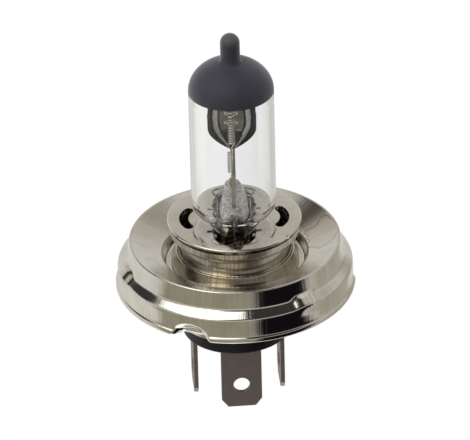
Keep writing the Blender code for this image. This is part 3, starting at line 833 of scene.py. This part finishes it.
def pinch_ridge():
    """The top of the pinch: a lumpy ridge of clear glass along Y, inside the foot of the bore."""
    shapes = [
        (2.9, 7.1, -3.3, 2.6),
        (2.7, 7.1, -2.5, 2.6),
        (2.4, 7.1, -1.6, 2.8),
        (2.1, 7.0, -0.9, 3.0),
        (1.8, 6.8, -0.3, 3.0),
        (1.3, 6.3, 0.0, 3.0),
        (0.7, 5.4, 0.1, 3.0),
    ]
    rings = []
    for low, high in zip(shapes, shapes[1:]):
        for k in range(8):
            half_x, half_y, rise, power = (a + (b - a) * k / 8 for a, b in zip(low, high))
            ring = superellipse(half_x * MM, half_y * MM, power, RIDGE_TOP + rise * MM)
            rings.append(wrinkled(ring, 0.26 * MM * min(1.0, 0.3 + (rise + 3.3) / 1.8)))
    return skin("ridge", rings)


def glass_envelope(quartz):
    noise.seed_set(WRINKLE_SEED)
    glass = add_piece("capsule", glass_outside(), quartz, ["glass_envelope"], 50)
    cut_from(glass, pinch_slab(), "UNION", folded=True)
    cut_from(glass, gas_space())
    cut_from(glass, pinch_ridge(), "UNION", folded=True)
    glass.data.shade_smooth()
    glass.data.set_sharp_from_angle(angle=math.radians(60))
    return glass


def blackout_coating(paint):
    outside = dome_outline(-0.01 * MM)
    inside = dome_outline(0.04 * MM)
    rings = inside[::-1] + outside
    mesh = turned_solid("coating", rings, 200)
    return add_piece("coating", mesh, paint, ["blackout_coating"], 60)


# ------------------------------------------------------------------ inside the glass


def dip_shield(metal):
    """A spoon of thin sheet, open towards -Y, that narrows to a blunt foot."""
    rows, columns = 64, 56
    rings = []
    for i in range(rows + 1):
        level = SHIELD_TIP + (SHIELD_TOP - SHIELD_TIP) * (i / rows) ** 1.7
        t = max(0.0, (SHIELD_SIDES - level) / (SHIELD_SIDES - SHIELD_TIP))
        size = max(0.08, 1 - t * t)
        row = []
        for j in range(columns + 1):
            angle = math.pi * j / columns
            x = -SHIELD_HALF_WIDTH * size * math.cos(angle)
            y = SHIELD_RIM_Y + SHIELD_DEPTH * size * math.sin(angle) ** 0.8
            row.append((x, y, level))
        rings.append(row)
    mesh = skin("shield", rings, wrap=False)
    shield = add_piece("shield", mesh, metal, ["dip_shield"], 60)
    thicken = shield.modifiers.new("sheet", "SOLIDIFY")
    thicken.thickness = SHIELD_SHEET
    thicken.offset = 0
    return shield


def helix(x, y, low, high, turns, radius, steps=28):
    points = []
    total = round(turns * steps)
    for k in range(total + 1):
        angle = 2 * math.pi * turns * k / total
        level = low + (high - low) * k / total
        points.append(Vector((x + radius * math.cos(angle), y + radius * math.sin(angle), level)))
    return points


def low_beam_filament(tungsten):
    """The coil in front of the shield, with two small loops at each of two levels."""
    x, y, low, high = LOW_COIL
    path = [Vector((x, y + 0.2 * MM, low - 1.1 * MM)), Vector((x + 0.3 * MM, y, low - 0.3 * MM))]
    path += helix(x, y, low, high, 12, COIL_RADIUS)
    path += [Vector((x, y, high + 0.4 * MM)), Vector((x, y, high + 2.9 * MM))]
    meshes = [tube("coil", path, COIL_WIRE, 10)]
    for side in (-1, 1):
        for level in LOOP_LEVELS:
            loop = helix(x + side * 0.86 * MM, level, 0.0, 0.5 * MM, 1.6, 0.3 * MM)
            points = [(p.x, y + p.z - 0.25 * MM, p.y) for p in loop]
            meshes.append(tube("loop", points, 0.13 * MM, 8))
    mesh = joined("low_beam_coil", meshes)
    return add_piece("low_beam_coil", mesh, tungsten, ["low_beam_filament"], 60)


def high_beam_filament(tungsten):
    x, y, low, high = HIGH_COIL
    path = [Vector((x, y, low - 1.5 * MM)), Vector((x, y, low - 0.4 * MM))]
    path += helix(x, y, low, high, 8, COIL_RADIUS)
    path += [Vector((x, y, high + 0.3 * MM)), Vector((x, y - 0.1 * MM, high + 0.9 * MM))]
    mesh = tube("high_beam_coil", path, COIL_WIRE, 10)
    return add_piece("high_beam_coil", mesh, tungsten, ["high_beam_filament"], 60)


def support_wires(metal):
    """The three wires that rise from the pinch: to the shield, and to a filament each."""
    foot = PINCH_TOP + 0.5 * MM
    low_x, low_y = LOW_COIL[:2]
    high_x, high_y, high_foot = HIGH_COIL[:3]
    over = SHIELD_TOP + 1.2 * MM
    common = [
        (0, -LEAD_PITCH, foot),
        (0, -LEAD_PITCH, RIDGE_TOP + 1.5 * MM),
        (0.1 * MM, -3.8 * MM, RIDGE_TOP + 4 * MM),
        (0.1 * MM, -3.2 * MM, SHIELD_TIP - 3 * MM),
        (0.1 * MM, -1.1 * MM, SHIELD_TIP - 0.4 * MM),
        (0.1 * MM, -0.7 * MM, SHIELD_TIP + 0.1 * MM),
    ]
    high = [
        (0, 0, foot),
        (0, 0, high_foot - 4 * MM),
        (high_x, high_y, high_foot - 2.6 * MM),
        (high_x, high_y, high_foot - 1.25 * MM),
    ]
    low = [
        (0, LEAD_PITCH, foot),
        (0, LEAD_PITCH, over),
        (low_x, low_y, over),
        (low_x, low_y, RIM_LEVEL + 30.3 * MM),
    ]
    for name, path in (("common", common), ("high_beam", high), ("low_beam", low)):
        points = spaced(rounded(path, 1.4 * MM, 8), 0.7 * MM)
        mesh = tube("support_" + name, points, SUPPORT_RADIUS, 16)
        add_piece("support_" + name, mesh, metal, ["support_wire_" + name], 50)


def pinch_foils(metal):
    """Thin foils with tapered ends, rippled a little."""
    for name in ("common", "high_beam", "low_beam"):
        node = "pinch_foil_" + name
        low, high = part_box(node)
        middle = (low.y + high.y) / 2
        half = (high.y - low.y) / 2
        rings = []
        steps = 30
        for k in range(steps + 1):
            t = k / steps
            end = min(1.0, 0.35 + 0.65 * smooth_step(min(t, 1 - t) * 6))
            level = low.z + (high.z - low.z) * t
            ripple = 0.02 * MM * math.sin(40 * t)
            x0, x1 = ripple - 0.05 * MM, ripple + 0.05 * MM
            y0, y1 = middle - half * end, middle + half * end
            rings.append([(x0, y0, level), (x1, y0, level), (x1, y1, level), (x0, y1, level)])
        add_piece("foil_" + name, skin("foil_" + name, rings), metal, [node], 60)


def outer_leads(metal):
    """From each foil, out of the pinch and down to the lug of its own contact."""
    end = INSULATOR_TOP / MM + 1.8
    routes = {
        "common": [(-3.0, -3.6, 25.0), (-4.6, -1.0, 22.6), (-5.0, -0.5, end)],
        "high_beam": [(2.2, 0.6, 25.2), (4.6, 0.6, 22.6), (5.0, 0.5, end)],
        "low_beam": [(-1.8, 2.4, 24.6), (-2.0, -1.6, 23.2), (-0.3, -4.6, 21.8), (0.4, -5.2, end)],
    }
    places = {"common": -LEAD_PITCH, "high_beam": 0.0, "low_beam": LEAD_PITCH}
    for name, y in places.items():
        top = low_of("pinch_foil_" + name).z - 0.1 * MM
        path = [(0, y, top), (0, y, PINCH_BOTTOM - 0.8 * MM)]
        path += [tuple(c * MM for c in point) for point in routes[name]]
        points = spaced(rounded(path, 1.2 * MM, 8), 0.6 * MM)
        mesh = tube("lead_" + name, points, LEAD_RADIUS, 14)
        add_piece("lead_" + name, mesh, metal, ["outer_lead_" + name], 50)


# ------------------------------------------------------------------ studio


# The cards round the lamp, each over those before it: the azimuths it spans, counted from -Y
# towards +X, the elevations, how soft its edges are, all in degrees, and its light.
CARDS = (
    ((-80, 16), (-58, 14), 4.0, (0.375, 0.36, 0.276)),
    ((84, 142), (-75, 16), 9.0, (0.49, 0.47, 0.41)),
    ((-150, -86), (-75, 14), 6.0, (0.84, 0.84, 0.80)),
    ((17, 76), (-75, 20), 7.0, (0.008, 0.006, 0.009)),
    ((-130, -92), (18, 48), 5.0, (0.05, 0.05, 0.05)),
    ((-88, -58), (40, 62), 4.0, (2.6, 2.6, 2.55)),
    ((-60, -20), (34, 52), 4.0, (3.0, 2.65, 1.9)),
    ((-8, 76), (33, 72), 5.0, (0.05, 0.045, 0.04)),
    ((-72, 8), (51, 70), 4.0, (2.6, 2.6, 2.55)),
    ((-152, -134), (38, 56), 6.0, (0.09, 0.08, 0.075)),
    ((130, 150), (38, 56), 7.0, (0.42, 0.42, 0.36)),
    ((-180, 180), (72, 92), 3.0, (0.12, 0.10, 0.085)),
    ((-70, 30), (73, 88), 8.0, (0.75, 0.68, 0.52)),
    ((60, 108), (72, 92), 10.0, (0.10, 0.09, 0.08)),
)


def studio_world():
    """A room of soft light boxes and dark cards, placed by the direction they are seen in."""
    world = bpy.data.worlds.new("studio")
    bpy.context.scene.world = world
    world.use_nodes = True
    n = Nodes(world.node_tree)
    towards = n.add("ShaderNodeTexCoord").outputs["Generated"]
    towards = n.add("ShaderNodeVectorMath", {0: towards}, operation="NORMALIZE").outputs[0]
    parts = n.add("ShaderNodeSeparateXYZ", {0: towards})
    x, y, z = parts.outputs[0], parts.outputs[1], parts.outputs[2]
    azimuth = n.math("MULTIPLY", n.math("ARCTAN2", x, n.math("MULTIPLY", y, -1.0)), 180 / math.pi)
    elevation = n.math("MULTIPLY", n.math("ARCSINE", z), 180 / math.pi)

    def window(value, low, high, soft):
        rise = n.smooth(value, low - soft, low + soft)
        return n.math("MULTIPLY", rise, n.smooth(value, high + soft, high - soft))

    tone = n.blend(n.smooth(elevation, 14.0, 34.0), colour(0.73, 0.73, 0.70), colour(0.60, 0.575, 0.52))
    tone = n.blend(n.smooth(elevation, 38.0, 60.0), tone, colour(0.74, 0.74, 0.72))
    tone = n.blend(n.smooth(elevation, -56.0, -64.0), tone, colour(1.6, 1.6, 1.6))
    for az, el, soft, strength in CARDS:
        mask = n.math("MULTIPLY", window(azimuth, *az, soft), window(elevation, *el, soft))
        tone = n.blend(mask, tone, colour(*strength))
    world.node_tree.nodes["Background"].inputs["Strength"].default_value = 1.0
    n.feed(world.node_tree.nodes["Background"].inputs["Color"], tone)


def pale_floor():
    """A plain white table and wall, evenly pale, that metal seen through the glass sees darker."""
    material, shader, n = new_material("table", 0.9)
    shader.inputs["Base Color"].default_value = colour(0.04, 0.04, 0.04)
    shader.inputs["Specular IOR Level"].default_value = 0.0
    shader.inputs["Emission Strength"].default_value = 0.99
    bounced = n.math("MINIMUM", n.add("ShaderNodeLightPath").outputs["Glossy Depth"], 1.0)
    shown = n.blend(n.math("MULTIPLY", bounced, 0.8), colour(1.0, 1.0, 1.0), colour(0.56, 0.54, 0.49))
    n.feed(shader.inputs["Emission Color"], shown)
    size, bend_radius, wall_top, steps = 1.2, 0.35, 1.6, 60
    rings = []
    for k in range(steps + 1):
        t = k / steps
        bend = max(0.0, t - 0.5) * 2
        y = -size + 1.6 * size * min(1.0, t * 2) + bend_radius * math.sin(bend * math.pi / 2)
        z = bend_radius * (1 - math.cos(bend * math.pi / 2))
        rings.append([(-size * 1.5, y, z - 0.02 * MM), (size * 1.5, y, z - 0.02 * MM)])
    rings.append([(x, y, wall_top) for x in (-size * 1.5, size * 1.5)])
    mesh = skin("table", rings, wrap=False)
    mesh.materials.append(material)
    mesh.shade_smooth()
    floor = bpy.data.objects.new("table", mesh)
    bpy.context.scene.collection.objects.link(floor)
    floor.visible_glossy = False
    floor.visible_diffuse = False


def add_camera():
    """The camera stands 31 degrees above the lamp's -Y side, far off with a long lens."""
    elevation, roll, distance = math.radians(30.9), math.radians(1.44), 0.923
    right = Vector((1, 0, 0))
    up = Vector((0, math.sin(elevation), math.cos(elevation)))
    back = Vector((0, -math.cos(elevation), math.sin(elevation)))
    aim = Vector((0, 0, RIM_LEVEL)) + right * 0.137 * MM + up * 3.207 * MM
    place = aim + back * distance
    side = right * math.cos(roll) - up * math.sin(roll)
    top = right * math.sin(roll) + up * math.cos(roll)
    data = bpy.data.cameras.new("camera")
    data.sensor_width = 36.0
    data.lens = 378.9
    data.clip_start = 0.01
    data.clip_end = 20.0
    camera = bpy.data.objects.new("camera", data)
    rotation = Matrix((side, top, back)).transposed().to_4x4()
    camera.matrix_world = Matrix.Translation(place) @ rotation
    bpy.context.scene.collection.objects.link(camera)
    bpy.context.scene.camera = camera


# ------------------------------------------------------------------ the lamp


def build_lamp():
    flange_metal = nickel("flange_nickel", 0.08, 75.0, 0.016 * MM, 0.22, stained=True)
    collar_metal = nickel("collar_nickel", 0.10, 42.0, 0.016 * MM, 0.6, painted_shade_inside=10.68 * MM)
    disc_metal = nickel("disc_nickel", 0.08, 60.0, 0.002 * MM, 0.12)
    dull = contact_metal()
    wire_metal = bright_metal("support_wire", colour(0.34, 0.33, 0.30), 0.20, 5000.0)
    foil_metal = bright_metal("molybdenum", colour(0.45, 0.44, 0.42), 0.15, 900.0)
    coil_metal = bright_metal("tungsten", colour(0.85, 0.84, 0.80), 0.08, 9000.0)

    flange_ring(flange_metal)
    base_sleeve(collar_metal)
    base_shell(collar_metal)
    holder_collar(collar_metal)
    holder_disc(disc_metal)
    base_insulator(black_plastic())
    for name, turn in CONTACTS.items():
        contact_blade(name, turn, dull)
    glass_envelope(quartz_glass())
    blackout_coating(black_coating())
    dip_shield(shield_sheet())
    low_beam_filament(coil_metal)
    high_beam_filament(coil_metal)
    support_wires(wire_metal)
    pinch_foils(foil_metal)
    outer_leads(wire_metal)


bpy.context.scene.view_settings.view_transform = "Standard"
add_camera()
studio_world()
pale_floor()
build_lamp()
